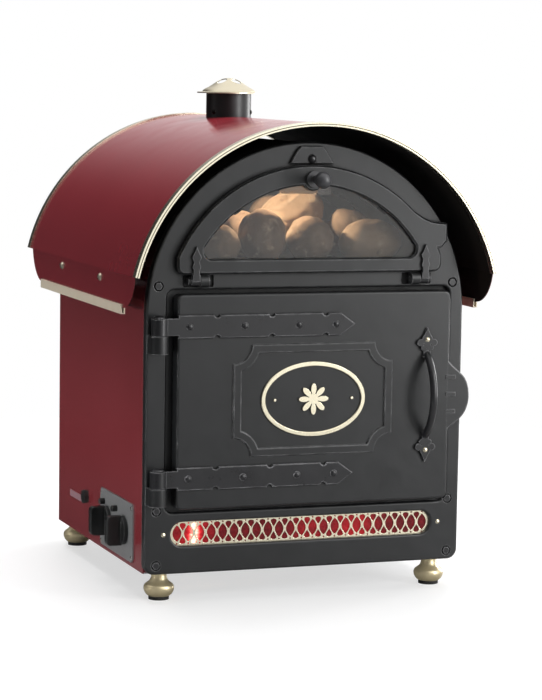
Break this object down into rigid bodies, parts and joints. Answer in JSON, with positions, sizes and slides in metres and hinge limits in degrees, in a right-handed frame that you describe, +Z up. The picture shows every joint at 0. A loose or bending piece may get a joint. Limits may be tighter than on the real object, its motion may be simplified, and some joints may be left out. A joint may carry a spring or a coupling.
{
  "type": "baked potato oven",
  "caption": "Counter-top potato oven with a cast front, hinged main door, arched display window, enamelled casing, arched roof, chimney and ball feet.",
  "frame": {"origin": "middle of the bounding box at floor level, under the rubber feet", "axes": "+Z up, the front with the doors faces -Y, +X to the right seen from the front"},
  "size_m": [0.5012, 0.5482, 0.6738],
  "materials": {
    "black_casting": "satin black enamel on iron casting",
    "hinge_iron": "satin black",
    "burgundy_enamel": "gloss burgundy enamel",
    "pale_brass": "satin lacquered brass",
    "black_paint": "gloss black",
    "zinc_sheet": "zinc plated",
    "stainless": "brushed",
    "control_steel": "grey, half gloss",
    "knob_black": "satin black",
    "rubber": "matt black",
    "wool": "mineral wool",
    "seal": "woven glass fibre",
    "glass": "clear",
    "red_glass": "red",
    "bulb_glass": "lit",
    "lamp_plastic": "black with a pale lens",
    "ceramic": "glazed",
    "element_steel": "dark",
    "label_foil": "blank foil",
    "potato_skin": null,
    "fasteners": "nickel plated",
    "black_fasteners": "black"
  },
  "bodies": {
    "casing": {"base_tray": "zinc_sheet", "front_plate": "black_casting", "body_shell": "burgundy_enamel", "rear_panel": "zinc_sheet", "rear_cover": "black_paint", "cable_gland": "knob_black", "label_plate": "label_foil", "reset_cap": "knob_black", "foot_bulbs": "pale_brass", "foot_pads": "rubber", "foot_studs": "zinc_sheet", "roof_sheet": "burgundy_enamel", "roof_trim_front": "pale_brass", "roof_trim_rear": "pale_brass", "roof_trim_sides": "pale_brass", "roof_spacers": "zinc_sheet", "roof_screws": "fasteners", "chimney_tube": "black_paint", "chimney_cap": "pale_brass", "plate_bolts": "black_fasteners", "window_catch": "hinge_iron", "hinge_pins": "hinge_iron", "ember_grille": "pale_brass", "grille_screws": "pale_brass", "ember_lens": "red_glass", "lamp_bulbs": "bulb_glass", "lamp_holders": "ceramic", "oven_liner": "stainless", "insulation": "wool", "shelf_runners": "stainless", "wire_shelves": "fasteners", "display_liner": "stainless", "display_tray": "stainless", "display_potatoes": "potato_skin", "fan_baffle": "stainless", "fan_motor": "zinc_sheet", "ring_element": "element_steel", "control_plate": "control_steel", "control_screws": "fasteners", "timer": "knob_black", "thermostat": "ceramic", "indicator_lamps": "lamp_plastic", "window_pivots": "hinge_iron"},
    "main_door": {"door_casting": "black_casting", "door_straps": "hinge_iron", "strap_rivets": "hinge_iron", "door_handle": "hinge_iron", "handle_screws": "pale_brass", "badge_ring": "pale_brass", "badge_ornament": "pale_brass", "door_liner": "stainless", "door_seal": "seal"},
    "window_door": {"window_frame": "black_casting", "window_glass": "glass", "glass_clips": "zinc_sheet", "window_arms": "hinge_iron", "window_knob": "knob_black"},
    "front_knob": {"knob_front": "knob_black"},
    "rear_knob": {"knob_rear": "knob_black"},
    "fan_wheel": {"fan_impeller": "zinc_sheet"}
  },
  "joints": [
    {"name": "main_door_hinge", "type": "hinge", "parent": "casing", "child": "main_door", "pos_m": [-0.207, -0.2321, 0.2616], "axis": [0, 0, -1], "range_deg": [0, 120]},
    {"name": "window_door_hinge", "type": "hinge", "parent": "casing", "child": "window_door", "pos_m": [0, -0.2251, 0.417], "axis": [1, 0, 0], "range_deg": [0, 70]},
    {"name": "front_knob_turn", "type": "hinge", "parent": "casing", "child": "front_knob", "pos_m": [-0.22, -0.1281, 0.081], "axis": [1, 0, 0], "range_deg": [0, 300]},
    {"name": "rear_knob_turn", "type": "hinge", "parent": "casing", "child": "rear_knob", "pos_m": [-0.22, -0.0511, 0.081], "axis": [1, 0, 0], "range_deg": [0, 270]},
    {"name": "fan_spin", "type": "hinge", "parent": "casing", "child": "fan_wheel", "pos_m": [0.00705, 0.1319, 0.2615], "axis": [0, 1, 0], "continuous": true}
  ]
}
